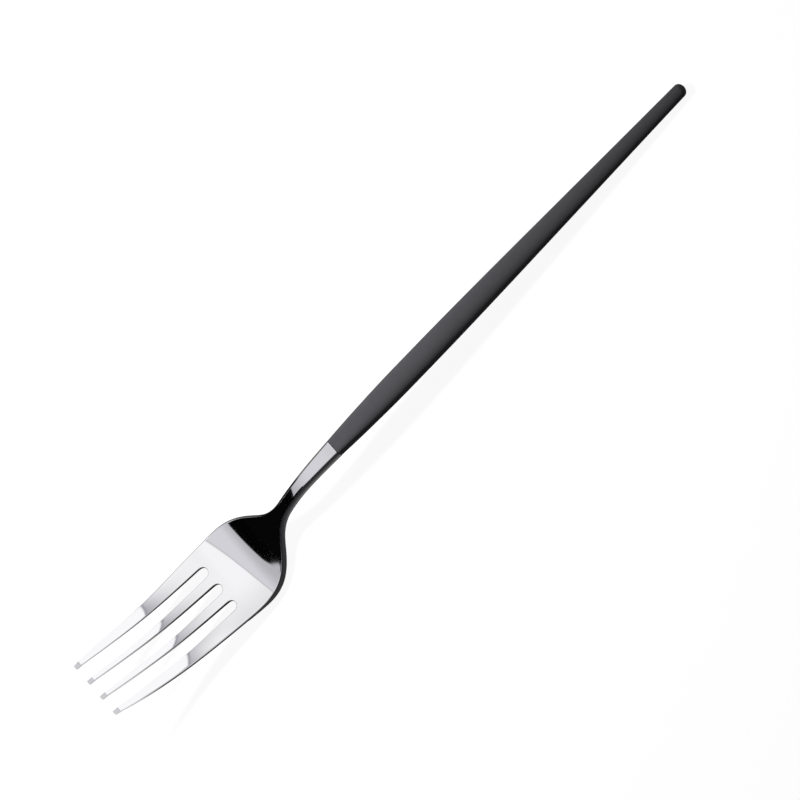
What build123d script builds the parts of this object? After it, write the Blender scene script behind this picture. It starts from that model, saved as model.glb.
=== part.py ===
"""A four-tine dinner fork: a forged, mirror-polished steel head cemented by its tang into a black handle.

Lengths are millimetres and angles degrees. +X runs from the tine tips to the end of the handle, +Y across
the tines and +Z up. The fork lies as it does on a table, on the heel of its bowl and the end of its handle,
and the origin is on the table, under the middle of its length.
"""

from build123d import *

import math
import os

# Lengths along the fork, from the tine tips to the end of the handle
tine_length = 38.9
tine_mid_from_tips = 17.6
heel_from_roots = 7.7
shoulder_from_heel = 10.2
throat_from_shoulder = 6.6
neck_from_throat = 7.3
joint_from_neck = 14.2
handle_length = 124.9

# Height of the head's top face above the table, along its middle
tip_height = 15.6
tip_slope = 24.0
tine_mid_height = 8.2
root_height = 3.22
shoulder_height = 4.5
throat_height = 7.27
neck_height = 9.26
joint_height = 8.27  # middle of the joint face

# Thickness of the steel and the rise of its edges above its middle
tip_depth = 1.2
heel_depth = 2.3
joint_depth = 2.8
bowl_dish = 0.7
neck_dish = 0.02

# Plan outline of the head
head_width = 24.6
widest_from_roots = 2.8
corner_width = 19.8
corner_from_widest = 11.4
flare_width = 10.4
flare_from_corner = 4.9
flare_angle = 48.8
foot_radius = 8.5
neck_width = 3.2
neck_radius = 60.0
joint_width = 4.4
tine_mid_span = 21.46
tip_draw_in = 12.0  # angle at which the outer edges close in at the tips

# Tines and the slots between them
root_pitch = 6.05
tip_pitch = 5.5
root_gap = 3.05
root_flat = 0.15  # straight stretch left between the rounded corners of a slot's end
tip_width = 1.1
tip_flat = 0.1  # straight stretch left between the rounded corners of a tip
edge_bevel = 0.3

# Handle sections: distance from the joint, width, depth and the straight height left on each side
swell_from_joint = 12.0
swell_width = 5.6
swell_depth = 3.7
swell_side = 1.5
belly_from_joint = 28.0
belly_width = 6.2
belly_depth = 4.4
belly_side = 1.0
waist_from_joint = 75.0
waist_width = 5.1
waist_depth = 3.8
waist_side = 0.6
butt_width = 3.5
butt_depth = 3.0
butt_side = 0.2
butt_end_radius = 0.1  # corner radius of the small flat left at the very end
handle_stations = 12

# Hidden tang and the cement that fills the socket round it
tang_length = 72.0
tang_width = 2.4
tang_depth = 1.4
tang_notch_radius = 0.5
tang_notches = 3
cement_gap = 0.2

# Head blank: stock left outside the finished outline before it is trimmed, and the sections along it
blank_overrun = 1.5
blank_sections = 22

# Radii worked out from the sections that they round
swell_radius = (swell_depth - swell_side) / 2
belly_radius = (belly_depth - belly_side) / 2
waist_radius = (waist_depth - waist_side) / 2
butt_radius = (butt_depth - butt_side) / 2
butt_rounding = butt_radius - butt_end_radius
root_radius = (root_gap - root_flat) / 2
tip_radius = (tip_width - tip_flat) / 2

# The handle slopes down from the joint until its end rests on the table
pitch = math.asin((joint_height - butt_depth / 2) / (handle_length - butt_rounding))
along_handle = Vector(math.cos(pitch), 0, -math.sin(pitch))
above_handle = Vector(math.sin(pitch), 0, math.cos(pitch))

# Places along the fork, whose middle is over the origin
bowl_length = heel_from_roots + shoulder_from_heel + throat_from_shoulder
neck_length = neck_from_throat + joint_from_neck
fork_length = tine_length + bowl_length + neck_length + handle_length * along_handle.X
tip_x = -fork_length / 2
tine_mid_x = tip_x + tine_mid_from_tips
root_x = tip_x + tine_length
heel_x = root_x + heel_from_roots
shoulder_x = heel_x + shoulder_from_heel
throat_x = shoulder_x + throat_from_shoulder
neck_x = throat_x + neck_from_throat
joint_x = neck_x + joint_from_neck
joint_point = Vector(joint_x, 0, joint_height)
joint_top = joint_point + above_handle * joint_depth / 2
joint_plane = Plane(origin=joint_point, x_dir=(0, 1, 0), z_dir=along_handle)
tang_plane = Plane(origin=joint_point, x_dir=along_handle, z_dir=above_handle)

# Middle line of the head's top face in side view, from beyond the tips to the joint
tine_rise = math.tan(math.radians(tip_slope))
with BuildLine(Plane.XZ):
    top_line = Spline(
        (tip_x - blank_overrun, tip_height + blank_overrun * tine_rise),
        (tine_mid_x, tine_mid_height),
        (root_x, root_height),
        (heel_x, heel_depth),
        (shoulder_x, shoulder_height),
        (throat_x, throat_height),
        (neck_x, neck_height),
        (joint_top.X, joint_top.Z),
        tangents=((1, -tine_rise), (1, -math.tan(pitch))),
        tangent_scalars=(1, 1),
    )


def depth_at(x):
    """Give the steel's thickness: it grows from the tips to the heel, and again to the joint."""
    if x < heel_x:
        return tip_depth + (heel_depth - tip_depth) * (x - tip_x) / (heel_x - tip_x)
    return heel_depth + (joint_depth - heel_depth) * (x - heel_x) / (joint_top.X - heel_x)


def dish_at(x):
    """Give the rise of the blank's edges: full along the tines and bowl, fading out up to the throat."""
    faded = min(max((x - heel_x) / (throat_x - heel_x), 0), 1)
    return neck_dish + (bowl_dish - neck_dish) * (1 + math.cos(math.pi * faded)) / 2


# Plan of the head as a prism: outline of neck, shoulders and tines, less the three slots
widest_x = root_x + widest_from_roots
corner_x = widest_x + corner_from_widest
flare_x = corner_x + flare_from_corner
foot_x = flare_x + (flare_width - neck_width) / 2 / math.tan(math.radians(flare_angle))
tip_half = 1.5 * tip_pitch + tip_width / 2
mouth_gap = tip_pitch - tip_width
neck_taper = (joint_width - neck_width) / 2 / joint_from_neck
prism_height = 2 * tip_height

with BuildSketch() as slots:
    for slot in (-1, 0, 1):
        with BuildLine():
            Polyline(
                (root_x, slot * root_pitch - root_gap / 2),
                (root_x, slot * root_pitch + root_gap / 2),
                (tip_x, slot * tip_pitch + mouth_gap / 2),
                (tip_x, slot * tip_pitch - mouth_gap / 2),
                close=True,
            )
        make_face()
    fillet(slots.vertices().group_by(Axis.X)[-1], radius=root_radius)

with BuildPart() as head_plan:
    with BuildSketch():
        with BuildLine():
            neck_side = FilletPolyline(
                (joint_x + blank_overrun, joint_width / 2 + neck_taper * blank_overrun),
                (neck_x, neck_width / 2),
                (foot_x, neck_width / 2),
                (flare_x, flare_width / 2),
                radius=(neck_radius, foot_radius),
            )
            Spline(
                (flare_x, flare_width / 2),
                (corner_x, corner_width / 2),
                (widest_x, head_width / 2),
                (tine_mid_x, tine_mid_span / 2),
                (tip_x, tip_half),
                tangents=(
                    (-math.cos(math.radians(flare_angle)), math.sin(math.radians(flare_angle))),
                    (-math.cos(math.radians(tip_draw_in)), -math.sin(math.radians(tip_draw_in))),
                ),
                tangent_scalars=(1, 1),
            )
            Line((tip_x, tip_half), (tip_x, 0))
            Line(neck_side @ 0, ((neck_side @ 0).X, 0))
            mirror(about=Plane.XZ)
        make_face()
        add(slots.sketch, mode=Mode.SUBTRACT)
    extrude(amount=prism_height)
    fillet(head_plan.edges().filter_by(Axis.Z).group_by(Axis.X)[0], radius=tip_radius)

# Tang: a flat bar whose edges are notched so that the cement keys into it
with BuildPart() as tang:
    with BuildSketch(tang_plane):
        Rectangle(tang_length, tang_width, align=(Align.MIN, Align.CENTER))
        with GridLocations(tang_length / (tang_notches + 1), tang_width, tang_notches, 2):
            with Locations((tang_length / 2, 0)):
                Circle(tang_notch_radius, mode=Mode.SUBTRACT)
    extrude(amount=tang_depth / 2, both=True)

# Fork head: the dished blank trimmed to its plan, edges bevelled, with the tang on its joint face
blank_half = head_width / 2 + blank_overrun
with BuildPart() as fork_head:
    for step in range(blank_sections):
        share = step / (blank_sections - 1)
        middle = top_line @ share
        depth = depth_at(middle.X)
        dish = dish_at(middle.X)
        with BuildSketch(Plane(origin=middle, x_dir=(0, 1, 0), z_dir=top_line % share)):
            with BuildLine():
                upper = ThreePointArc((-blank_half, dish), (0, 0), (blank_half, dish))
                lower = ThreePointArc((-blank_half, dish - depth), (0, -depth), (blank_half, dish - depth))
                Line(upper @ 0, lower @ 0)
                Line(upper @ 1, lower @ 1)
            make_face()
    loft()
    add(head_plan.part, mode=Mode.INTERSECT)
    broad_faces = fork_head.faces().sort_by(SortBy.AREA)[-2:]
    joint_face = fork_head.faces().sort_by(Axis.X)[-1]
    chamfer(broad_faces.edges() - joint_face.edges(), length=edge_bevel)
    add(tang.part)
fork_head.part.label = "fork_head"

# Handle: lofted from the flush joint through the belly to the slim rounded butt, with a blind socket.
# Its sections lie on two curves that run along it, one of width and depth and one of corner radius.
handle_sections = (
    (0, joint_width, joint_depth, edge_bevel),
    (swell_from_joint, swell_width, swell_depth, swell_radius),
    (belly_from_joint, belly_width, belly_depth, belly_radius),
    (waist_from_joint, waist_width, waist_depth, waist_radius),
    (handle_length, butt_width, butt_depth, butt_radius),
)
socket_width = tang_width + 2 * cement_gap
socket_depth = tang_depth + 2 * cement_gap
socket_length = tang_length + cement_gap

with BuildLine():
    size_line = Spline(*[(place, width, depth) for place, width, depth, radius in handle_sections])
with BuildLine():
    round_line = Spline(*[(place, radius) for place, width, depth, radius in handle_sections])

with BuildPart() as handle:
    for station in range(handle_stations):
        share = station / (handle_stations - 1)
        size = size_line @ share
        with BuildSketch(joint_plane.offset(size.X)):
            RectangleRounded(size.Y, size.Z, (round_line @ share).Y)
    loft(ruled=True)
    fillet(handle.faces().sort_by(Axis.X)[-1].edges(), radius=butt_rounding)
    with BuildSketch(joint_plane):
        Rectangle(socket_width, socket_depth)
    extrude(amount=socket_length, mode=Mode.SUBTRACT)
handle.part.label = "handle"

# Cement: fills the socket round the tang
with BuildPart() as tang_cement:
    with BuildSketch(joint_plane):
        Rectangle(socket_width, socket_depth)
    extrude(amount=socket_length)
    add(tang.part, mode=Mode.SUBTRACT)
tang_cement.part.label = "tang_cement"

os.makedirs("parts", exist_ok=True)
export_step(fork_head.part, "parts/fork_head.step")
export_step(handle.part, "parts/handle.step")
export_step(tang_cement.part, "parts/tang_cement.step")
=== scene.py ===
"""A dinner fork dressed for the studio: polished steel head, black handle and the cement between them.

Sizes are millimetres in the fork's own frame: +X runs from the tine tips to the end of the handle, +Y across
the tines and +Z up. Blender works in metres, so a size is multiplied by MM where it becomes a place in a
mesh.
"""

import logging
import math
from dataclasses import dataclass
from enum import Enum
from typing import Callable, Sequence

import bpy
import numpy as np
from mathutils import Matrix, Vector


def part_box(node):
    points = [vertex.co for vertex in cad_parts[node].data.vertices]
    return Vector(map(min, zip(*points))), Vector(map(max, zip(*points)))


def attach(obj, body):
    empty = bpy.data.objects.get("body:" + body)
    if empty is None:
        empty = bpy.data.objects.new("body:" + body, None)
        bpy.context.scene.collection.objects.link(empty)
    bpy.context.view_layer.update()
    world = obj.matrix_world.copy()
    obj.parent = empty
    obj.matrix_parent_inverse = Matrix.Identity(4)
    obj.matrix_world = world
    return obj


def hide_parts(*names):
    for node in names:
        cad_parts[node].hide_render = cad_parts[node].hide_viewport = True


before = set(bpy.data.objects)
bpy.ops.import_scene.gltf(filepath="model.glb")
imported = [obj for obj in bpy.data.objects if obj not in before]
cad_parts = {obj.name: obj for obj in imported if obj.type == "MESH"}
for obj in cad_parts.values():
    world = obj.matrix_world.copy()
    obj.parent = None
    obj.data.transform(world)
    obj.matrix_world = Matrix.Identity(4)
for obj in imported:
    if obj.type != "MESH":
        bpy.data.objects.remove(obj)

MM = 0.001
BODY = "root"
TINES = 4
SLOTS = (-1, 0, 1)  # the slots between the tines, from -Y to +Y
SLOPE_STEP = 0.05  # reach to either side of a place over which a slope is measured
NEARLY_ZERO = 1e-6
COLOUR_A, COLOUR_B, COLOUR_OUT = 6, 7, 2  # numbers of a Mix node's sockets for colours
log = logging.getLogger("dinner_fork")


class Node(Enum):
    """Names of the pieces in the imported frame."""

    HEAD = "fork_head"
    HANDLE = "handle"
    CEMENT = "tang_cement"


class Slot(Enum):
    """Names of the record's material slots."""

    STEEL = "polished_steel"
    RESIN = "black_resin"


def linear(hex_colour: str) -> tuple[float, float, float, float]:
    """Turn an sRGB hex colour into a linear one.

    Args:
        hex_colour: six hex digits after a hash sign.

    Returns:
        Linear red, green and blue, and an alpha of 1.
    """
    shares = [int(hex_colour[place : place + 2], 16) / 255 for place in (1, 3, 5)]
    red, green, blue = [
        share / 12.92 if share <= 0.04045 else ((share + 0.055) / 1.055) ** 2.4 for share in shares
    ]
    return red, green, blue, 1.0


def add_node(tree: bpy.types.NodeTree, kind: str, inputs: dict | None = None, **settings) -> bpy.types.Node:
    """Add a node with its settings, and set or link its inputs.

    Args:
        tree: node tree that gets the node.
        kind: Blender's name of the node type, after ShaderNode.
        inputs: value, or output to link, for each input by name or number.
        settings: properties of the node itself.

    Returns:
        The new node.
    """
    node = tree.nodes.new("ShaderNode" + kind)
    for name, value in settings.items():
        setattr(node, name, value)
    for name, value in (inputs or {}).items():
        if isinstance(value, bpy.types.NodeSocket):
            tree.links.new(value, node.inputs[name])
        else:
            node.inputs[name].default_value = value
    return node


def new_material(name: str) -> tuple[bpy.types.Material, bpy.types.NodeTree, bpy.types.Node]:
    """Make an empty node material.

    Args:
        name: the material's name.

    Returns:
        The material, its node tree and its output node.
    """
    material = bpy.data.materials.new(name)
    material.use_nodes = True
    material.node_tree.nodes.clear()
    return material, material.node_tree, add_node(material.node_tree, "OutputMaterial")


def spline(places: Sequence[float], values: Sequence[float], first: float, last: float) -> Callable:
    """Make the smooth curve through some points that has a given slope at each end.

    Args:
        places: where the points are, in rising order.
        values: the curve's value at each point.
        first: slope at the first point.
        last: slope at the last point.

    Returns:
        A function of an array of places.
    """
    x, y = np.array(places, float), np.array(values, float)
    step, rise = np.diff(x), np.diff(y) / np.diff(x)
    count = len(x)
    matrix, wanted = np.zeros((count, count)), np.zeros(count)
    matrix[0, 0] = matrix[-1, -1] = 1
    wanted[0], wanted[-1] = first, last
    for i in range(1, count - 1):
        matrix[i, i - 1 : i + 2] = step[i], 2 * (step[i - 1] + step[i]), step[i - 1]
        wanted[i] = 3 * (step[i] * rise[i - 1] + step[i - 1] * rise[i])
    slope = np.linalg.solve(matrix, wanted)

    def curve(place: np.ndarray) -> np.ndarray:
        """Give the curve's value.

        Args:
            place: places along the curve.

        Returns:
            The value at each place.
        """
        place = np.asarray(place, float)
        i = np.clip(np.searchsorted(x, place) - 1, 0, count - 2)
        t = (place - x[i]) / step[i]
        start = (1 + 2 * t) * (1 - t) ** 2 * y[i] + t * (1 - t) ** 2 * step[i] * slope[i]
        end = t**2 * (3 - 2 * t) * y[i + 1] + t**2 * (t - 1) * step[i] * slope[i + 1]
        return start + end

    return curve


def smooth_step(value: np.ndarray, low: float, high: float) -> np.ndarray:
    """Rise smoothly from 0 at low to 1 at high."""
    share = np.clip((np.asarray(value, float) - low) / (high - low), 0, 1)
    return share**2 * (3 - 2 * share)


def between(first: float | np.ndarray, last: float | np.ndarray, share: np.ndarray) -> np.ndarray:
    """Give the value that lies a share of the way from the first to the last."""
    return first + (last - first) * share


def slope_of(curve: Callable, place: np.ndarray) -> np.ndarray:
    """Measure how steeply a curve rises at each place."""
    return (curve(place + SLOPE_STEP) - curve(place - SLOPE_STEP)) / (2 * SLOPE_STEP)


def deselect() -> None:
    """Leave nothing selected and Blender in object mode."""
    if bpy.context.object and bpy.context.object.mode != "OBJECT":
        bpy.ops.object.mode_set(mode="OBJECT")
    bpy.ops.object.select_all(action="DESELECT")


def places_of(piece: bpy.types.Object) -> np.ndarray:
    """Read the places of a mesh's vertices.

    Args:
        piece: mesh object in object mode.

    Returns:
        One row of three numbers for each vertex.
    """
    flat = np.empty(len(piece.data.vertices) * 3, np.float32)
    piece.data.vertices.foreach_get("co", flat)
    return flat.reshape(-1, 3).astype(float)


def set_places(piece: bpy.types.Object, places: np.ndarray) -> None:
    """Move a mesh's vertices to new places.

    Args:
        piece: mesh object in object mode.
        places: one row of three numbers for each vertex, in metres.
    """
    piece.data.vertices.foreach_set("co", places.astype(np.float32).ravel())
    piece.data.update()


def add_grid(rows: int, columns: int) -> bpy.types.Object:
    """Add a flat grid whose vertices lie 1 apart, from the origin along +X and +Y, and start to edit it.

    Args:
        rows: vertices along X.
        columns: vertices along Y.

    Returns:
        The grid as the active mesh object, in edit mode.
    """
    deselect()
    bpy.ops.mesh.primitive_grid_add(x_subdivisions=rows - 1, y_subdivisions=columns - 1, size=1)
    bpy.ops.object.mode_set(mode="EDIT")
    bpy.ops.transform.resize(value=(rows - 1, columns - 1, 1))
    bpy.ops.transform.translate(value=((rows - 1) / 2, (columns - 1) / 2, 0))
    return bpy.context.object


def close_shell() -> None:
    """Turn all faces of the edited mesh outwards, and leave edit mode."""
    bpy.ops.mesh.select_all(action="SELECT")
    bpy.ops.mesh.normals_make_consistent(inside=False)
    bpy.ops.object.mode_set(mode="OBJECT")


def apply_subdivision(piece: bpy.types.Object, levels: int) -> None:
    """Round a mesh with a Subdivision Surface modifier and apply it.

    Args:
        piece: active mesh object.
        levels: how often each face is split.
    """
    rounding = piece.modifiers.new("rounding", "SUBSURF")
    rounding.levels = rounding.render_levels = levels
    bpy.ops.object.modifier_apply(modifier=rounding.name)


@dataclass(frozen=True)
class PolishedSteel:
    """Stainless steel, forged and buffed to a mirror; its stamped edges are left satin and darkened with
    painted shade.
    """

    mirror: str = "#E8E8EA"
    # Painted shade: the dark edge colour stands in for the dark surroundings that the stamped edges would
    # mirror
    edge: str = "#2E2E31"
    mirror_roughness: float = 0.04
    buffed_roughness: float = 0.055
    edge_roughness: float = 0.3
    buffing_width: float = 0.5  # of one buffing line
    buffing_length: float = 12.0
    haze_range: tuple[float, float] = (0.35, 0.7)  # of the buffing noise, from mirror to buffed
    ripple_width: float = 5.0
    ripple_height: float = 0.0007

    def make(self) -> bpy.types.Material:
        """Make the material: a mirror hazed a little by its buffing lines, softer on the edges and darkened
        there with painted shade.

        Returns:
            The steel's material.
        """
        # The eye gets crisp reflections of the panels, dulled in streaks along the fork, and edges darkened
        # by painted shade
        material, tree, output = new_material("buffed_stainless_steel")
        place = add_node(tree, "TexCoord").outputs["Object"]
        # The stored mark of satin and painted shade on the edges
        edge = add_node(tree, "Attribute", attribute_name=ForkHead.EDGE).outputs["Fac"]
        along, across = 1 / (self.buffing_length * MM), 1 / (self.buffing_width * MM)
        stretched = add_node(tree, "Mapping", {"Vector": place, "Scale": (along, across, across)})
        lines = add_node(
            tree, "TexNoise", {"Vector": stretched.outputs["Vector"], "Scale": 1.0, "Detail": 3.0}
        ).outputs["Fac"]
        mirror_from, buffed_from = self.haze_range
        haze = add_node(
            tree,
            "MapRange",
            {
                "Value": lines,
                "From Min": mirror_from,
                "From Max": buffed_from,
                "To Min": self.mirror_roughness,
                "To Max": self.buffed_roughness,
            },
        )
        roughness = add_node(
            tree, "Mix", {"Factor": edge, "A": haze.outputs["Result"], "B": self.edge_roughness}
        )
        # Painted shade: the mirror colour turns to the dark edge colour where the mark is high
        colours = {"Factor": edge, COLOUR_A: linear(self.mirror), COLOUR_B: linear(self.edge)}
        colour = add_node(tree, "Mix", colours, data_type="RGBA").outputs[COLOUR_OUT]
        ripple = add_node(
            tree, "TexNoise", {"Vector": place, "Scale": 1 / (self.ripple_width * MM), "Detail": 0.0}
        ).outputs["Fac"]
        bump = add_node(
            tree, "Bump", {"Height": ripple, "Strength": 1.0, "Distance": self.ripple_height * MM}
        )
        shader = add_node(
            tree,
            "BsdfPrincipled",
            {
                "Base Color": colour,
                "Metallic": 1.0,
                "Roughness": roughness.outputs[0],
                "Normal": bump.outputs["Normal"],
            },
        )
        tree.links.new(shader.outputs["BSDF"], output.inputs["Surface"])
        return material


@dataclass(frozen=True)
class SoftTouchResin:
    """Black moulded resin with a soft-touch coat."""

    colour: str = "#464548"
    worn: str = "#4C4B4E"
    roughness: float = 0.78
    specular: float = 0.08
    mottle_width: float = 2.4
    grain_width: float = 0.35  # drawn coarser than the coat's own grain of about 0.05, which would not show
    grain_height: float = 0.006

    def make(self) -> bpy.types.Material:
        """Make the material: nearly without gloss, with a faint mottle and a fine grain.

        Returns:
            The handle's material.
        """
        # The eye gets an even, powdery black that turns grey where light falls on it and shows no highlight
        material, tree, output = new_material("soft_touch_black_resin")
        place = add_node(tree, "TexCoord").outputs["Object"]
        mottle = add_node(
            tree, "TexNoise", {"Vector": place, "Scale": 1 / (self.mottle_width * MM), "Detail": 4.0}
        ).outputs["Fac"]
        colours = {"Factor": mottle, COLOUR_A: linear(self.colour), COLOUR_B: linear(self.worn)}
        colour = add_node(tree, "Mix", colours, data_type="RGBA").outputs[COLOUR_OUT]
        grain = add_node(
            tree, "TexNoise", {"Vector": place, "Scale": 1 / (self.grain_width * MM), "Detail": 2.0}
        ).outputs["Fac"]
        bump = add_node(tree, "Bump", {"Height": grain, "Strength": 1.0, "Distance": self.grain_height * MM})
        shader = add_node(
            tree,
            "BsdfPrincipled",
            {
                "Base Color": colour,
                "Roughness": self.roughness,
                "Specular IOR Level": self.specular,
                "Normal": bump.outputs["Normal"],
            },
        )
        tree.links.new(shader.outputs["BSDF"], output.inputs["Surface"])
        return material


@dataclass(frozen=True)
class CuredEpoxy:
    """Filled epoxy cement, poured and cured in the socket."""

    colour: str = "#A2987F"
    filler: str = "#857B64"
    roughness: float = 0.45
    filler_width: float = 0.6

    def make(self) -> bpy.types.Material:
        """Make the material: a dull amber-grey cast with cloudy filler.

        Returns:
            The cement's material.
        """
        # The eye gets a waxy, slightly mottled beige
        material, tree, output = new_material("cured_epoxy_cement")
        place = add_node(tree, "TexCoord").outputs["Object"]
        cloud = add_node(
            tree, "TexNoise", {"Vector": place, "Scale": 1 / (self.filler_width * MM), "Detail": 5.0}
        ).outputs["Fac"]
        colours = {"Factor": cloud, COLOUR_A: linear(self.colour), COLOUR_B: linear(self.filler)}
        colour = add_node(tree, "Mix", colours, data_type="RGBA").outputs[COLOUR_OUT]
        shader = add_node(tree, "BsdfPrincipled", {"Base Color": colour, "Roughness": self.roughness})
        tree.links.new(shader.outputs["BSDF"], output.inputs["Surface"])
        return material


@dataclass(frozen=True)
class HandleAxis:
    """The line that the tang and the handle follow, from the joint down to the table."""

    joint_x: float
    joint_height: float
    handle_length: float = 124.9
    butt_depth: float = 3.0
    butt_rounding: float = 1.3

    @property
    def pitch(self) -> float:
        """Give the angle, in radians, at which the line slopes down."""
        drop = self.joint_height - self.butt_depth / 2
        return math.asin(drop / (self.handle_length - self.butt_rounding))

    def place(self, along: np.ndarray, across: np.ndarray, above: np.ndarray) -> np.ndarray:
        """Turn distances from the joint into places in the fork's frame.

        Args:
            along: distance from the joint.
            across: distance to +Y.
            above: distance above the line, square to it.

        Returns:
            One row of X, Y and Z for each point.
        """
        cosine, sine = math.cos(self.pitch), math.sin(self.pitch)
        x = self.joint_x + along * cosine + above * sine
        z = self.joint_height - along * sine + above * cosine
        return np.column_stack([x, across, z])


@dataclass
class ForkHead:
    """The steel head: four tines, dished bowl and slim neck forged in one, with its hidden tang."""

    # Name of the stored mark of satin and painted shade on the edges
    EDGE = "edge"

    # Lengths along the head, from the tine tips
    tine_length: float = 38.9
    tine_mid_from_tips: float = 17.6
    heel_from_roots: float = 7.7
    shoulder_from_heel: float = 10.2
    throat_from_shoulder: float = 6.6
    neck_from_throat: float = 7.3
    joint_from_neck: float = 14.2
    # Heights of the top face along its middle
    tip_height: float = 15.6
    tip_slope: float = 24.0
    tine_mid_height: float = 8.2
    root_height: float = 3.22
    shoulder_height: float = 4.5
    throat_height: float = 7.27
    neck_height: float = 9.2
    joint_height: float = 8.27
    joint_slope: float = 1.0
    # Thickness, dish and crown
    tip_depth: float = 1.2
    heel_depth: float = 2.3
    joint_depth: float = 2.8
    bowl_dish: float = 0.7
    neck_dish: float = 0.02
    tine_dish: float = 0.12
    dish_half_width: float = 13.8
    tine_crown: float = 0.06
    crown_fade: float = 12.0  # stretch before the slots' ends in which the crown fades out
    neck_hollow: float = 0.04
    hollow_from_throat: tuple[float, float] = (-1.0, 4.0)  # stretch in which the hollow deepens
    hollow_from_neck: tuple[float, float] = (-1.0, 7.0)  # stretch in which it fades out again
    tip_drop: float = 0.34  # of the facet at each tip
    tip_reach: float = 1.7  # of the same facet
    # Plan outline
    head_width: float = 24.6
    widest_from_roots: float = 2.8
    corner_width: float = 19.8
    corner_from_widest: float = 11.4
    flare_width: float = 10.4
    flare_from_corner: float = 4.9
    flare_angle: float = 48.8
    foot_radius: float = 8.5
    neck_width: float = 3.6
    neck_radius: float = 60.0
    joint_width: float = 4.82
    tine_mid_span: float = 21.46
    tip_draw_in: float = 12.0
    # Tines and slots
    root_pitch: float = 6.05
    tip_pitch: float = 5.5
    root_gap: float = 3.05
    tip_width: float = 1.1
    # Soft edges left by polishing: distance from the edge at which the face starts to turn
    tip_edge: float = 0.15
    tine_edge: float = 0.25
    outer_edge: float = 0.6  # along the outer sides of the outer tines
    outer_growth: float = 10.0  # stretch from the tips in which that edge grows
    bowl_edge: float = 0.7
    bowl_growth: float = 6.0  # stretch of the tines, before their roots, in which that edge starts to grow
    joint_edge: float = 0.9
    edge_share: float = 0.44  # most of the thickness that one soft edge takes
    tine_share: float = 0.7  # most of half a tine that one soft edge takes
    neck_polish_and_light: float = 0.16  # share by which the satin and its painted shade are lessened low on the neck's edges
    polish_light_from_top: tuple[float, float] = (0.4, 0.6)  # shares of the thickness between which that starts
    corner_cut: float = 0.1  # share of a soft edge by which the bowl's and neck's top corner is drawn in
    under_share: float = 0.45  # of a tine's thickness, taken by its rounded underside
    under_cut: float = 0.4  # share by which a tine is narrower underneath
    under_reach: float = 0.5  # by which the bowl is drawn in underneath, beside the tine roots
    # Stretch, from the tine roots, in which the edges turn from partly polished to satin, with painted shade
    # that grows with the satin
    satin_shade_from_roots: tuple[float, float] = (-32.0, -8.0)
    tip_satin_shade: float = 0.3
    # Satin rim with painted shade along the outline: how far inside it is full and ends, and the stretch in
    # which it starts
    rim_inside: tuple[float, float] = (0.5, 1.0)
    rim_from_tips: tuple[float, float] = (2.0, 14.0)
    # How far an edge still faces up where it is all satin and painted shade, and where that starts
    tine_facing: tuple[float, float] = (0.35, 0.8)
    bowl_facing: tuple[float, float] = (0.9, 0.99)
    # Tang in the handle
    tang_length: float = 72.0
    tang_width: float = 2.4
    tang_depth: float = 1.4
    tang_notches: int = 3
    notch_radius: float = 0.5
    notch_steps: int = 6
    # Mesh: cells across each tine and slot and through the steel, rows along the tines, bowl and neck
    tine_cells: int = 5
    slot_cells: int = 4
    depth_cells: int = 3
    tine_rows: int = 24
    bowl_rows: int = 20
    neck_rows: int = 9
    levels: int = 2
    # Rows that keep a bend crisp or a curve round
    tip_row: float = 0.3  # distance of the rows next to a tip and to the end of its facet
    slot_turn: float = 45.0  # turn round a slot's end at which its last row starts
    wave_reach: float = 5.0  # stretch past the slots in which the rows straighten out
    bowl_end: float = 2.0  # past the throat, where the neck's rows start
    joint_rows: tuple[float, ...] = (0.6, 0.12, 0.0)  # distance of the last rows from the joint
    # How far off the worked-out face a point is still laid on it, and from where on it is left alone
    settle_range: tuple[float, float] = (0.01, 0.035)

    def __post_init__(self) -> None:
        """Work out places from the frame and the sizes."""
        self.tip_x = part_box(Node.HEAD.value)[0].x / MM
        self.tine_mid_x = self.tip_x + self.tine_mid_from_tips
        self.root_x = self.tip_x + self.tine_length
        self.heel_x = self.root_x + self.heel_from_roots
        self.shoulder_x = self.heel_x + self.shoulder_from_heel
        self.throat_x = self.shoulder_x + self.throat_from_shoulder
        self.neck_x = self.throat_x + self.neck_from_throat
        self.joint_x = self.neck_x + self.joint_from_neck
        self.widest_x = self.root_x + self.widest_from_roots
        self.corner_x = self.widest_x + self.corner_from_widest
        self.flare_x = self.corner_x + self.flare_from_corner
        self.slot_radius = self.root_gap / 2
        self.slot_end_x = self.root_x - self.slot_radius
        side_view = (
            (self.tip_x, self.tip_height),
            (self.tine_mid_x, self.tine_mid_height),
            (self.root_x, self.root_height),
            (self.heel_x, self.heel_depth),
            (self.shoulder_x, self.shoulder_height),
            (self.throat_x, self.throat_height),
            (self.neck_x, self.neck_height),
            (self.joint_x, self.joint_height + self.joint_depth / 2),
        )
        self.top_line = spline(
            *zip(*side_view),
            first=-math.tan(math.radians(self.tip_slope)),
            last=-math.tan(math.radians(self.joint_slope)),
        )
        tip_span = (TINES - 1) * self.tip_pitch + self.tip_width
        outline = (
            (self.tip_x, tip_span / 2),
            (self.tine_mid_x, self.tine_mid_span / 2),
            (self.widest_x, self.head_width / 2),
            (self.corner_x, self.corner_width / 2),
            (self.flare_x, self.flare_width / 2),
        )
        self.shoulder_line = spline(
            *zip(*outline),
            first=math.tan(math.radians(self.tip_draw_in)),
            last=-math.tan(math.radians(self.flare_angle)),
        )

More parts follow.
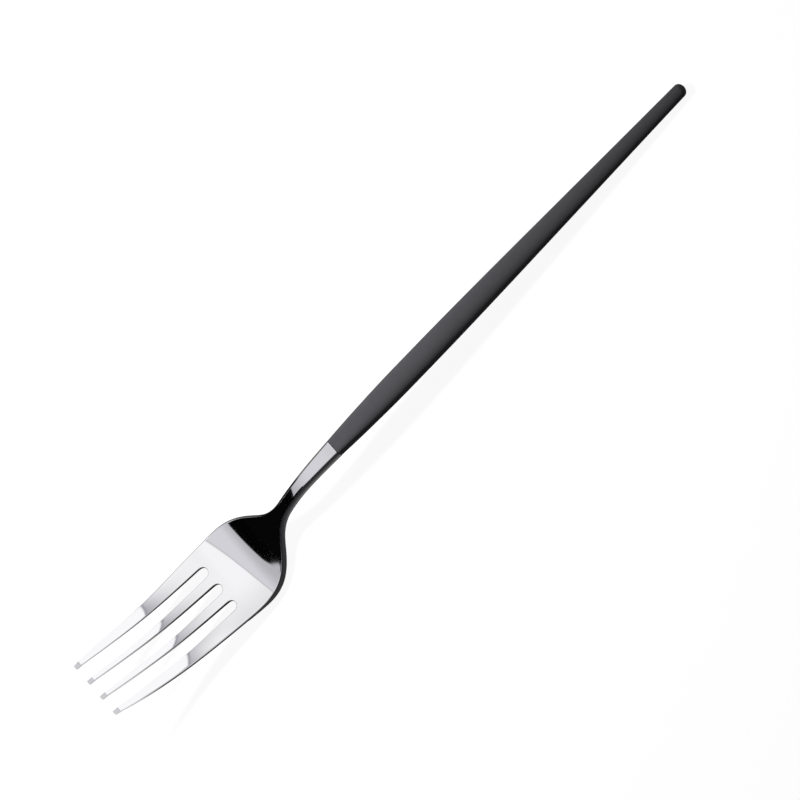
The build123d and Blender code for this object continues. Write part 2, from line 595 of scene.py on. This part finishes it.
    def half_width(self, x: np.ndarray) -> np.ndarray:
        """Give the outline's distance from the middle line.

        Args:
            x: places along the fork.

        Returns:
            Half the head's width at each place.
        """
        x = np.asarray(x, float)
        angle = math.radians(self.flare_angle)
        neck_half = self.neck_width / 2
        foot_x = self.flare_x + (self.flare_width / 2 - neck_half) / math.tan(angle)
        foot_end_x = foot_x + self.foot_radius * math.tan(angle / 2)
        foot_start_x = foot_end_x - self.foot_radius * math.sin(angle)
        into_foot = np.clip(foot_end_x - x, 0, self.foot_radius * math.sin(angle))
        foot = neck_half + self.foot_radius - np.sqrt(self.foot_radius**2 - into_foot**2)
        flare = foot + np.clip(foot_start_x - x, 0, None) * math.tan(angle)
        taper = (self.joint_width / 2 - neck_half) / self.joint_from_neck
        reach = self.neck_radius * math.tan(math.atan(taper) / 2)
        past = np.clip(x - self.neck_x + reach, 0, 2 * reach)
        neck = flare + past**2 / (2 * self.neck_radius) + taper * np.clip(x - self.neck_x - reach, 0, None)
        return np.where(x < self.flare_x, self.shoulder_line(x), neck)

    def slot_edges(self, x: np.ndarray, slot: int) -> tuple[np.ndarray, np.ndarray]:
        """Give the two sides of a slot between tines, its round end included.

        Args:
            x: places along the fork, up to the slot's end.
            slot: -1, 0 or 1.

        Returns:
            The slot's lower and upper side in Y.
        """
        share = (np.asarray(x, float) - self.root_x) / (self.tip_x - self.root_x)
        middle = slot * between(self.root_pitch, self.tip_pitch, share)
        half = between(self.root_gap, self.tip_pitch - self.tip_width, share) / 2
        into_end = np.clip(x - self.slot_end_x, 0, self.slot_radius)
        half = half - self.slot_radius + np.sqrt(self.slot_radius**2 - into_end**2)
        return middle - half, middle + half

    def tine_sides(self, x: np.ndarray, tine: int) -> tuple[np.ndarray, np.ndarray]:
        """Give the two sides of a tine.

        Args:
            x: places along the fork.
            tine: 0 to 3, from -Y to +Y.

        Returns:
            The tine's lower and upper side in Y.
        """
        outline = self.half_width(x)
        low = -outline if tine == 0 else self.slot_edges(x, SLOTS[tine - 1])[1]
        high = outline if tine == TINES - 1 else self.slot_edges(x, SLOTS[tine])[0]
        return low, high

    def top(self, x: np.ndarray, y: np.ndarray) -> np.ndarray:
        """Give the height of the top face.

        It is the middle line with the dish across it, a slight crown on each tine, the facet at each tip and
        the neck's slight hollow.

        Args:
            x: places along the fork.
            y: places across it.

        Returns:
            The height at each place.
        """
        faded = np.clip((x - self.heel_x) / (self.throat_x - self.heel_x), 0, 1)
        dish = between(self.neck_dish, self.bowl_dish, (1 + np.cos(math.pi * faded)) / 2)
        dish = dish - (self.bowl_dish - self.tine_dish) * (1 - smooth_step(x, self.tine_mid_x, self.root_x))
        height = self.top_line(x) + dish * (y / self.dish_half_width) ** 2
        crown = self.tine_crown * (1 - smooth_step(x, self.slot_end_x - self.crown_fade, self.slot_end_x))
        crown = crown * smooth_step(x, self.tip_x + self.tip_reach, self.tine_mid_x)
        across = np.full(np.shape(x), 1.0)
        for tine in range(TINES):
            low, high = self.tine_sides(np.minimum(x, self.slot_end_x), tine)
            share = (2 * y - low - high) / (high - low)
            across = np.where(np.abs(share) < 1, share**2, across)
        drop = self.tip_drop * np.clip(1 - (x - self.tip_x) / self.tip_reach, 0, 1)
        hollow = self.neck_hollow * smooth_step(x - self.throat_x, *self.hollow_from_throat)
        hollow = hollow * (1 - smooth_step(x - self.neck_x, *self.hollow_from_neck))
        side = np.minimum(y / self.half_width(x), 1)
        return height + crown * (1 - across) - drop + hollow * side**2

    def depth(self, x: np.ndarray) -> np.ndarray:
        """Give the upright thickness of the steel.

        Args:
            x: places along the fork.

        Returns:
            The thickness at each place.
        """
        tine_share = (x - self.tip_x) / (self.heel_x - self.tip_x)
        tine = between(self.tip_depth, self.heel_depth, tine_share)
        neck_share = (x - self.heel_x) / (self.joint_x - self.heel_x)
        neck = between(self.heel_depth, self.joint_depth, neck_share)
        return np.where(x < self.heel_x, tine, neck) * np.sqrt(1 + slope_of(self.top_line, x) ** 2)

    def edge(self, x: np.ndarray) -> np.ndarray:
        """Give the distance from an edge at which the top face starts to turn down.

        Args:
            x: places along the fork.

        Returns:
            The distance at each place.
        """
        tine = between(self.tip_edge, self.tine_edge, smooth_step(x, self.tip_x, self.tine_mid_x))
        bowl_share = smooth_step(x, self.root_x - self.bowl_growth, self.corner_x)
        bowl = tine + (self.bowl_edge - self.tine_edge) * bowl_share
        return bowl + (self.joint_edge - self.bowl_edge) * smooth_step(x, self.throat_x, self.joint_x)

    def rim_edge(self, x: np.ndarray) -> np.ndarray:
        """Give the same distance along the outline, where the outer tines are rounder."""
        grown = smooth_step(x - self.tip_x, 0, self.outer_growth)
        return np.maximum(self.edge(x), self.outer_edge * grown)

    def row_places(self) -> tuple[np.ndarray, int]:
        """Give the place in X of each row of the cage.

        Returns:
            The places, and the number of the row in which the slots end.
        """
        tip = [self.tip_x + reach for reach in (0, self.tip_row, self.tip_reach / 2, self.tip_reach)]
        end = self.slot_end_x + self.slot_radius * np.sin(np.radians([self.slot_turn / 2, self.slot_turn]))
        tine = np.linspace(tip[-1] + self.tip_row, self.slot_end_x, self.tine_rows - len(end))
        bowl_end = self.throat_x + self.bowl_end
        bowl = np.linspace(end[-1] + self.tine_edge, bowl_end, self.bowl_rows)
        neck_end, *joint = [self.joint_x - reach for reach in self.joint_rows]
        neck = np.linspace(bowl_end, neck_end, self.neck_rows + 1)[1:]
        return np.concatenate([tip, tine, end, bowl, neck, joint]), len(tip) + len(tine) + len(end) - 1

    def cage_plan(self) -> tuple[np.ndarray, np.ndarray, int]:
        """Work out the plan of the cage: where each of its rows and columns cross.

        Returns:
            X and Y by row and column, and the row in which the slots end.
        """
        rows, slots_end = self.row_places()
        columns = TINES * self.tine_cells + len(SLOTS) * self.slot_cells + 1
        x = np.repeat(rows[:, None], columns, axis=1)
        y = np.zeros_like(x)
        edge, rim = self.edge(rows), self.rim_edge(rows)
        stride = self.tine_cells + self.slot_cells
        # Tines, up to the row in which the slots end
        tined = slice(0, slots_end + 1)
        for tine in range(TINES):
            low, high = self.tine_sides(rows[tined], tine)
            half = (high - low) / 2
            first = low + np.minimum((rim if tine == 0 else edge)[tined], self.tine_share * half)
            last = high - np.minimum((rim if tine == TINES - 1 else edge)[tined], self.tine_share * half)
            lines = (low, first, (2 * first + last) / 3, (first + 2 * last) / 3, last, high)
            for line, places in enumerate(lines):
                y[tined, tine * stride + line] = places
        # The round end of each slot, and the row that follows it
        past_slots = slots_end + 1
        turns = np.radians(np.linspace(self.slot_turn, 180 - self.slot_turn, self.slot_cells + 1))
        rings = ((slots_end, self.slot_radius), (past_slots, self.slot_radius + self.tine_edge))
        for slot in SLOTS:
            first = (slot + 1) * stride + self.tine_cells
            lines = slice(first, first + self.slot_cells + 1)
            for row, radius in rings:
                x[row, lines] = self.slot_end_x + radius * np.sin(turns)
                y[row, lines] = slot * self.root_pitch - radius * np.cos(turns)
        # The bowl and the neck: the columns spread out evenly between the soft edges
        outline = self.half_width(rows)
        steep = np.sqrt(1 + slope_of(self.half_width, rows) ** 2)
        inner_half = outline - rim * steep
        even = np.linspace(-1, 1, columns - 2)
        pattern = y[slots_end, 1:-1] / inner_half[slots_end]
        wave = x[past_slots] - rows[past_slots]
        for row in range(past_slots, len(rows)):
            share = smooth_step(rows[row], rows[slots_end], self.corner_x)
            blend = between(pattern, even, share)
            y[row, 1:-1] = blend * inner_half[row]
            y[row, 0], y[row, -1] = -outline[row], outline[row]
            if row > past_slots:
                x[row] += wave * (1 - smooth_step(rows[row] - rows[past_slots], 0, self.wave_reach))
        return x, y, slots_end

    def under_plan(
        self, plan_x: np.ndarray, plan_y: np.ndarray, slots_end: int
    ) -> tuple[np.ndarray, np.ndarray]:
        """Work out the plan of the underside, on which the tines are narrower and the slots wider.

        Args:
            plan_x: X of the top's plan by row and column.
            plan_y: Y of the top's plan by row and column.
            slots_end: the row in which the slots end.

        Returns:
            X and Y of the underside by row and column.
        """
        x, y = plan_x.copy(), plan_y.copy()
        stride = self.tine_cells + self.slot_cells
        fade = 1 - smooth_step(plan_x[slots_end:], self.root_x, self.corner_x)
        y[slots_end:] *= 1 - self.under_reach * fade / (self.head_width / 2)
        for tine in range(TINES):
            first = tine * stride
            columns = slice(first, first + self.tine_cells + 1)
            middle = (plan_y[:slots_end, first] + plan_y[:slots_end, first + self.tine_cells])[:, None] / 2
            y[:slots_end, columns] += self.under_cut * (middle - y[:slots_end, columns])
        for slot in SLOTS:
            first = (slot + 1) * stride + self.tine_cells
            columns = slice(first, first + self.slot_cells + 1)
            for row in (slots_end, slots_end + 1):
                out_x = plan_x[row, columns] - self.slot_end_x
                out_y = plan_y[row, columns] - slot * self.root_pitch
                reach = self.under_reach * (1 + row - slots_end) / np.hypot(out_x, out_y)
                x[row, columns] += reach * out_x
                y[row, columns] += reach * out_y
        return x, y

    def build(self) -> bpy.types.Object:
        """Model the head: a block of cells, cut for the slots, drawn to its plan and rounded.

        Returns:
            The head as one mesh object.
        """
        plan_x, plan_y, slots_end = self.cage_plan()
        rows, columns = plan_x.shape
        stride = self.tine_cells + self.slot_cells
        head = add_grid(rows, columns)
        head.name = head.data.name = "steel_head"
        bpy.ops.mesh.select_all(action="DESELECT")
        bpy.ops.mesh.select_mode(type="FACE")
        bpy.ops.object.mode_set(mode="OBJECT")
        for face in head.data.polygons:
            in_slot = math.floor(face.center.y) % stride >= self.tine_cells
            face.select = in_slot and face.center.x < slots_end
        bpy.ops.object.mode_set(mode="EDIT")
        bpy.ops.mesh.delete(type="FACE")
        bpy.ops.mesh.select_all(action="SELECT")
        for _ in range(self.depth_cells):
            bpy.ops.mesh.extrude_region_move(TRANSFORM_OT_translate={"value": (0, 0, 1)})
        close_shell()
        row, column, layer = np.rint(places_of(head)).astype(int).T
        x, y = plan_x[row, column], plan_y[row, column]
        depth = self.depth(x)
        outer = (column == 0) | (column == columns - 1)
        turn = np.minimum(np.where(outer, self.rim_edge(x), self.edge(x)), self.edge_share * depth)
        # Top corner of the bowl and neck: drawn in and down
        beside = plan_y[row, np.clip(column, 1, columns - 2)]
        at_corner = outer & (layer == self.depth_cells)
        cut = self.corner_cut * smooth_step(x, self.root_x, self.corner_x) * at_corner
        y = y + cut * (beside - y)
        # Underside of the tines: narrower than the top and rounded
        under_x, under_y = self.under_plan(plan_x, plan_y, slots_end)
        x = np.where(layer == 0, under_x[row, column], x)
        y = np.where(layer == 0, under_y[row, column], y)
        rounded = 1 - smooth_step(x, self.root_x, self.corner_x)
        lower_turn = between(turn, self.under_share * depth, rounded)
        below_top = np.choose(layer, [depth, depth - lower_turn, turn, cut * turn])
        set_places(head, np.column_stack([x, y, self.top(x, y) - below_top]) * MM)
        apply_subdivision(head, self.levels)
        self.settle(head)
        self.mark_satin_and_shade(head)
        bpy.ops.object.shade_smooth()
        tang = self.build_tang()
        deselect()
        tang.select_set(True)
        head.select_set(True)
        bpy.context.view_layer.objects.active = head
        bpy.ops.object.join()
        return head

    def build_tang(self) -> bpy.types.Object:
        """Model the tang: a flat bar along the handle's axis, notched so that the cement keys into it.

        Returns:
            The tang as a mesh object.
        """
        pitch = self.tang_length / (self.tang_notches + 1)
        turns = np.linspace(0, math.pi, self.notch_steps + 1)
        notches = [pitch * (n + 1) - self.notch_radius * np.cos(turns) for n in range(self.tang_notches)]
        along = np.concatenate([[0], *notches, [self.tang_length]])
        cut = np.concatenate([[0], *[self.notch_radius * np.sin(turns)] * self.tang_notches, [0]])
        tang = add_grid(len(along), 3)
        bpy.ops.mesh.extrude_region_move(TRANSFORM_OT_translate={"value": (0, 0, 1)})
        close_shell()
        row, column, layer = np.rint(places_of(tang)).astype(int).T
        y = (column - 1) * (self.tang_width / 2 - cut[row])
        axis = HandleAxis(self.joint_x, self.joint_height)
        set_places(tang, axis.place(along[row], y, (layer - 0.5) * self.tang_depth) * MM)
        bpy.ops.object.shade_flat()
        return tang

    def settle(self, head: bpy.types.Object) -> None:
        """Lay the top face's vertices, away from its edges, exactly on the worked-out surface.

        Args:
            head: the head's rounded mesh.
        """
        places = places_of(head) / MM
        x, y = places[:, 0], places[:, 1]
        gap = places[:, 2] - self.top(x, y)
        painted_contact_shade = 1 - smooth_step(np.abs(gap), *self.settle_range)
        places[:, 2] -= painted_contact_shade * gap
        set_places(head, places * MM)

    def mark_satin_and_shade(self, head: bpy.types.Object) -> None:
        """Store how satin and how darkened by painted shade each vertex is: all of it where it faces
        sideways, on the stamped edges.

        Args:
            head: the head's rounded mesh.
        """
        x, y, z = places_of(head).T / MM
        normals = np.array([vertex.normal for vertex in head.data.vertices])
        slope = slope_of(self.top_line, x)
        facing = np.abs(normals[:, 2] - slope * normals[:, 0]) / np.sqrt(1 + slope**2)
        # Painted shade goes with the satin: strongest toward the tine roots and along the rim
        root_share = smooth_step(x - self.root_x, *self.satin_shade_from_roots)
        strength = between(self.tip_satin_shade, 1, root_share)
        inside = self.half_width(x) - np.abs(y)
        rim = (1 - smooth_step(inside, *self.rim_inside)) * smooth_step(x - self.tip_x, *self.rim_from_tips)
        strength = np.maximum(strength, rim)
        share = smooth_step(x, self.root_x, self.heel_x)
        full, start = (between(*ends, share) for ends in zip(self.tine_facing, self.bowl_facing))
        satin_and_shade = (1 - smooth_step(facing, full, start)) * strength
        # Low on the neck's edges the satin and its painted shade are lessened
        from_top = (self.top(x, y) - z) / self.depth(x)
        polish_and_light = smooth_step(from_top, *self.polish_light_from_top) * smooth_step(x, self.corner_x, self.neck_x)
        satin_and_shade *= 1 - self.neck_polish_and_light * polish_and_light
        edge = head.data.attributes.new(self.EDGE, "FLOAT", "POINT")
        edge.data.foreach_set("value", satin_and_shade.astype(np.float32))

    def dress(self, head: bpy.types.Object) -> None:
        """Give the head its finish and its place in the frame.

        Args:
            head: the finished head.
        """
        head.data.materials.append(PolishedSteel().make())
        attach(head, BODY)
        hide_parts(Node.HEAD.value)


@dataclass
class Handle:
    """The black handle: flush at the joint, fullest at a fifth of its length and slim at its end."""

    joint_x: float
    joint_height: float
    # Sections: distance from the joint, width, depth, and how square the corners are (2 is an ellipse)
    sections: tuple[tuple[float, float, float, float], ...] = (
        (0.0, 4.92, 3.0, 4.0),
        (12.0, 6.3, 3.9, 2.5),
        (28.0, 6.86, 4.5, 2.2),
        (75.0, 5.7, 3.9, 2.1),
        (124.9, 3.7, 3.0, 2.0),
    )
    width_slopes: tuple[float, float] = (0.115, -0.036)
    depth_slopes: tuple[float, float] = (0.082, -0.018)
    end_rounding: float = 1.5
    socket_width: float = 2.86
    socket_depth: float = 1.86
    socket_length: float = 72.2
    socket_ring: float = 0.5  # share to which the first ring is drawn in for the socket
    crease_angle: float = 40.0
    # Mesh: sides round the handle, and rows along its swell, its taper and its rounded end
    sides: int = 64
    swell_rows: int = 24
    taper_rows: int = 30
    end_rows: int = 8

    def build(self) -> bpy.types.Object:
        """Model the handle: a tube drawn to its sections and closed at the end, with a blind socket.

        Returns:
            The handle as one mesh object.
        """
        places, widths, depths, squareness = (list(column) for column in zip(*self.sections))
        belly, end_start = places[2], places[-1] - self.end_rounding
        swell = np.linspace(0, belly, self.swell_rows, endpoint=False)
        taper = np.linspace(belly, end_start, self.taper_rows, endpoint=False)
        turns = np.linspace(0, math.pi / 2, self.end_rows + 1)
        end = end_start + self.end_rounding * np.sin(turns)
        along = np.concatenate([swell, taper, end])
        shrink = np.concatenate([np.ones(len(swell) + len(taper)), np.cos(turns)])
        # The tube starts with rows 1 apart and a radius of 1
        last_row, half_row = len(along) - 1, 0.5
        deselect()
        bpy.ops.mesh.primitive_cylinder_add(
            vertices=self.sides,
            radius=1,
            depth=last_row,
            end_fill_type="NOTHING",
            location=(0, 0, last_row / 2),
        )
        handle = bpy.context.object
        handle.name = handle.data.name = "black_handle"
        bpy.ops.object.transform_apply(location=True)
        self.select_edges(handle, lambda low, high: high.z - low.z > half_row)
        bpy.ops.mesh.subdivide(number_cuts=last_row - 1)
        # Joint face and socket: the first ring is drawn in, then pushed along the handle and closed
        self.select_edges(handle, lambda low, high: high.z < half_row)
        bpy.ops.mesh.extrude_region_move()
        ring = self.socket_ring
        bpy.ops.transform.resize(value=(ring, ring, 1), center_override=(0, 0, 0))
        bpy.ops.mesh.extrude_region_move(TRANSFORM_OT_translate={"value": (0, 0, 1)})
        bpy.ops.mesh.edge_face_add()
        # Rounded end: its last ring becomes one point
        self.select_edges(handle, lambda low, high: low.z > last_row - half_row)
        bpy.ops.mesh.merge(type="CENTER")
        close_shell()
        start = places_of(handle)
        angle = np.arctan2(start[:, 1], start[:, 0])
        in_socket = np.hypot(start[:, 0], start[:, 1]) < (1 + ring) / 2
        in_socket &= start[:, 2] < last_row - half_row
        step = np.rint(start[:, 2]).astype(int)
        distance = np.where(in_socket, step * self.socket_length, along[step])
        width = spline(places, widths, *self.width_slopes)(distance) * shrink[step]
        depth = spline(places, depths, *self.depth_slopes)(distance) * shrink[step]
        power = 2 / np.interp(distance, places, squareness)
        cosine, sine = np.cos(angle), np.sin(angle)
        across = width / 2 * np.sign(cosine) * np.abs(cosine) ** power
        above = depth / 2 * np.sign(sine) * np.abs(sine) ** power
        reach = np.minimum(
            self.socket_width / 2 / np.maximum(np.abs(cosine), NEARLY_ZERO),
            self.socket_depth / 2 / np.maximum(np.abs(sine), NEARLY_ZERO),
        )
        across = np.where(in_socket, reach * cosine, across)
        above = np.where(in_socket, reach * sine, above)
        axis = HandleAxis(self.joint_x, self.joint_height)
        set_places(handle, axis.place(distance, across, above) * MM)
        bpy.ops.object.shade_smooth_by_angle(angle=math.radians(self.crease_angle))
        return handle

    @staticmethod
    def select_edges(piece: bpy.types.Object, wanted: Callable) -> None:
        """Select, in edit mode, the edges whose lower and upper end pass a test.

        Args:
            piece: active mesh object.
            wanted: test of the lower and the upper end of an edge.
        """
        bpy.ops.object.mode_set(mode="EDIT")
        bpy.ops.mesh.select_all(action="DESELECT")
        bpy.ops.mesh.select_mode(type="EDGE")
        bpy.ops.object.mode_set(mode="OBJECT")
        for edge in piece.data.edges:
            low, high = sorted((piece.data.vertices[i].co for i in edge.vertices), key=lambda place: place.z)
            edge.select = bool(wanted(low, high))
        bpy.ops.object.mode_set(mode="EDIT")

    def dress(self, handle: bpy.types.Object) -> None:
        """Give the handle its finish and its place in the frame.

        Args:
            handle: the finished handle.
        """
        handle.data.materials.append(SoftTouchResin().make())
        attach(handle, BODY)
        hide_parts(Node.HANDLE.value)


@dataclass(frozen=True)
class Side:
    """One side of a card: the card covers the directions that lie past it."""

    toward: tuple[float, float, float]
    start: float
    softness: float = 0.008


@dataclass(frozen=True)
class Card:
    """A panel or flag hung round the fork; one that isn't mirrored only changes the light on it."""

    level: float
    sides: tuple[Side, ...]
    tint: str = "#FFFFFF"
    mirrored: bool = True


RIGHT, LEFT, BACK, FRONT, UP, DOWN = (1, 0, 0), (-1, 0, 0), (0, 1, 0), (0, -1, 0), (0, 0, 1), (0, 0, -1)


@dataclass
class Studio:
    """The floor, the light and the camera."""

    floor_side: float = 20000.0
    floor_drop: float = 0.02  # below the fork's lowest points
    floor_colour: str = "#606060"
    floor_glow: float = 0.93
    painted_shadow_reach: float = 22.0  # how near the fork has to be for the painted shadow on the floor that the steel mirrors
    painted_shadow_power: float = 2.0
    view_azimuth: float = 24.25
    view_elevation: float = 59.93
    view_roll: float = -68.77
    aim: tuple[float, float, float] = (-1.49, -0.05, 0.05)
    frame_width: float = 197.18
    camera_distance: float = 5000.0
    near_clip: float = 100.0
    sensor: float = 36.0
    white: float = 1.12  # level of the tent where no card hangs
    lamp_place: tuple[float, float, float] = (-60.0, 100.0, 190.0)
    lamp_side: float = 60.0
    lamp_power: float = 0.76
    # Cards in the order in which they hang, each in front of the ones before it
    cards: tuple[Card, ...] = (
        # White tent, a little duller low at the back
        Card(0.9, (Side(BACK, 0.56, 0.08),)),
        Card(0.45, (Side(BACK, 0.74, 0.06),)),
        # Light grey diffuser on the tine side, duller at its far end, with a seam along its slanting edge
        Card(0.82, (Side((-1, -1.0, 0), -0.302),), "#FAFAFF"),
        Card(0.57, (Side(LEFT, 0.4, 0.12),), "#FAFAFF"),
        Card(0.62, (Side((-1, -1.0, 0), -0.306), Side((1, 1.0, 0), 0.286))),
        # Grey gap on the handle side, ended by a bright panel whose edge runs slantwise
        Card(0.42, (Side(RIGHT, 0.2, 0.14),), "#F4F4FF"),
        Card(0.35, (Side((1, 0.27, 0), 0.375),), "#F4F4FF"),
        Card(1.17, (Side((1, 0.27, 0), 0.388),)),
        # Pale panel on the camera's side
        Card(0.75, (Side(FRONT, 0.0, 0.14),)),
        # Black flags at the tine side
        Card(0.3, (Side(BACK, 0.66, 0.06), Side(LEFT, 0.08, 0.04))),
        Card(0.002, (Side(BACK, 0.6, 0.03), Side(LEFT, 0.36, 0.04))),
        Card(
            0.001,
            (
                Side((-1, -0.4, 0), 0.33),
                Side(FRONT, -0.508, 0.005),
                Side((-1, -1.48, 0), -0.2, 0.01),
                Side(BACK, -0.34, 0.08),
                Side(UP, 0.22, 0.06),
            ),
        ),
        Card(0.002, (Side(LEFT, 0.66, 0.02), Side(BACK, -0.34, 0.08), Side(UP, 0.22, 0.06))),
        # Flags that keep light off the camera's side of the handle
        Card(0.15, (Side(BACK, 0.6, 0.25),), mirrored=False),
        Card(0.03, (Side(FRONT, -0.3, 0.2),), mirrored=False),
        Card(0.015, (Side(FRONT, -0.15, 0.1), Side(LEFT, 0.35, 0.1)), mirrored=False),
        # Dimmer low all round
        Card(0.4, (Side(DOWN, -0.14, 0.1),)),
        Card(0.25, (Side(DOWN, -0.26, 0.1), Side(FRONT, 0.0, 0.1))),
    )

    def add_floor(self) -> None:
        """Lay a pale floor that shows white to the eye, and in the steel too except close under the fork,
        where a shadow is painted on what the steel mirrors.
        """
        deselect()
        bpy.ops.mesh.primitive_plane_add(size=self.floor_side * MM, location=(0, 0, -self.floor_drop * MM))
        floor = bpy.context.object
        floor.name = "floor"
        material, tree, output = new_material("pale_floor")
        path = add_node(tree, "LightPath").outputs
        # Painted shadow: ambient occlusion darkens the glow that the steel mirrors close under the fork
        painted_contact_shade = add_node(tree, "AmbientOcclusion", {"Distance": self.painted_shadow_reach * MM}, samples=16)
        power = {0: painted_contact_shade.outputs["AO"], 1: self.painted_shadow_power}
        outside_painted_shadow = add_node(tree, "Math", power, operation="POWER").outputs[0]
        mirrored = add_node(tree, "Math", {0: path["Is Glossy Ray"], 1: outside_painted_shadow}, operation="MULTIPLY")
        shown = path["Is Camera Ray"]
        for other in (mirrored.outputs[0], path["Is Transmission Ray"]):
            shown = add_node(tree, "Math", {0: shown, 1: other}, operation="MAXIMUM").outputs[0]
        glow = add_node(tree, "Math", {0: shown, 1: self.floor_glow}, operation="MULTIPLY")
        paint = add_node(tree, "BsdfDiffuse", {"Color": linear(self.floor_colour)})
        light = add_node(tree, "Emission", {"Strength": glow.outputs[0]})
        both = add_node(tree, "AddShader", {0: paint.outputs[0], 1: light.outputs[0]})
        tree.links.new(both.outputs[0], output.inputs["Surface"])
        floor.data.materials.append(material)

    def add_light(self) -> None:
        """Hang a tent of pale panels round the fork, with black flags in it."""
        world = bpy.data.worlds.new("light_tent")
        bpy.context.scene.world = world
        world.use_nodes = True
        tree = world.node_tree
        tree.nodes.clear()
        direction = add_node(tree, "TexCoord").outputs["Generated"]
        path = add_node(tree, "LightPath").outputs
        seen = path["Is Camera Ray"]
        for kind in ("Is Glossy Ray", "Is Transmission Ray"):
            seen = add_node(tree, "Math", {0: seen, 1: path[kind]}, operation="MAXIMUM").outputs[0]
        unseen = add_node(tree, "Math", {0: 1.0, 1: seen}, operation="SUBTRACT").outputs[0]
        sky = (self.white, self.white, self.white, 1)
        for card in self.cards:
            cover = 1.0 if card.mirrored else unseen
            for side in card.sides:
                along = add_node(tree, "VectorMath", {0: direction, 1: side.toward}, operation="DOT_PRODUCT")
                share = add_node(
                    tree,
                    "MapRange",
                    {
                        "Value": along.outputs["Value"],
                        "From Min": side.start - side.softness,
                        "From Max": side.start + side.softness,
                    },
                    interpolation_type="SMOOTHSTEP",
                )
                both = add_node(tree, "Math", {0: share.outputs["Result"], 1: cover}, operation="MULTIPLY")
                cover = both.outputs[0]
            shade = [card.level * part for part in linear(card.tint)[:3]] + [1]
            colours = {"Factor": cover, COLOUR_A: sky, COLOUR_B: shade}
            sky = add_node(tree, "Mix", colours, data_type="RGBA").outputs[COLOUR_OUT]
        glow = add_node(tree, "Background", {"Color": sky, "Strength": 1.0})
        output = add_node(tree, "OutputWorld")
        tree.links.new(glow.outputs[0], output.inputs["Surface"])

    def add_lamp(self) -> None:
        """Hang a small soft lamp high beside the bowl, which lights the handle and isn't mirrored."""
        deselect()
        bpy.ops.object.light_add(type="AREA", location=Vector(self.lamp_place) * MM)
        lamp = bpy.context.object
        lamp.name = lamp.data.name = "top_lamp"
        lamp.data.size = self.lamp_side * MM
        lamp.data.energy = self.lamp_power
        lamp.visible_glossy = False

    def add_camera(self) -> None:
        """Set the camera at the photograph's angle, far off, so that the view is nearly parallel."""
        turn, rise, roll = (math.radians(a) for a in (self.view_azimuth, self.view_elevation, self.view_roll))
        back = Vector((math.sin(turn) * math.cos(rise), -math.cos(turn) * math.cos(rise), math.sin(rise)))
        level = Vector((math.cos(turn), math.sin(turn), 0))
        upright = back.cross(level)
        right = level * math.cos(roll) + upright * math.sin(roll)
        up = back.cross(right)
        camera = bpy.data.objects.new("camera", bpy.data.cameras.new("camera"))
        bpy.context.scene.collection.objects.link(camera)
        turned = Matrix((right, up, back)).transposed().to_4x4()
        place = (Vector(self.aim) + back * self.camera_distance) * MM
        camera.matrix_world = Matrix.Translation(place) @ turned
        camera.data.sensor_width = self.sensor
        camera.data.lens = self.sensor * self.camera_distance / self.frame_width
        camera.data.clip_start = self.near_clip * MM
        camera.data.clip_end = 2 * self.floor_side * MM
        bpy.context.scene.camera = camera


def main() -> None:
    """Build the fork's pieces in order, then the studio round them."""
    logging.basicConfig(level=logging.INFO)
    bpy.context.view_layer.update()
    steel = ForkHead()
    head = steel.build()
    steel.dress(head)
    log.info("%s: %d faces", head.name, len(head.data.polygons))
    resin = Handle(steel.joint_x, steel.joint_height)
    handle = resin.build()
    resin.dress(handle)
    log.info("%s: %d faces", handle.name, len(handle.data.polygons))
    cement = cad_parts[Node.CEMENT.value]
    cement.data.materials.clear()
    cement.data.materials.append(CuredEpoxy().make())
    log.info("%s: finish set", cement.name)
    studio = Studio()
    studio.add_floor()
    studio.add_light()
    studio.add_lamp()
    studio.add_camera()
    bpy.context.scene.view_settings.view_transform = "Standard"


if __name__ == "__main__":
    main()
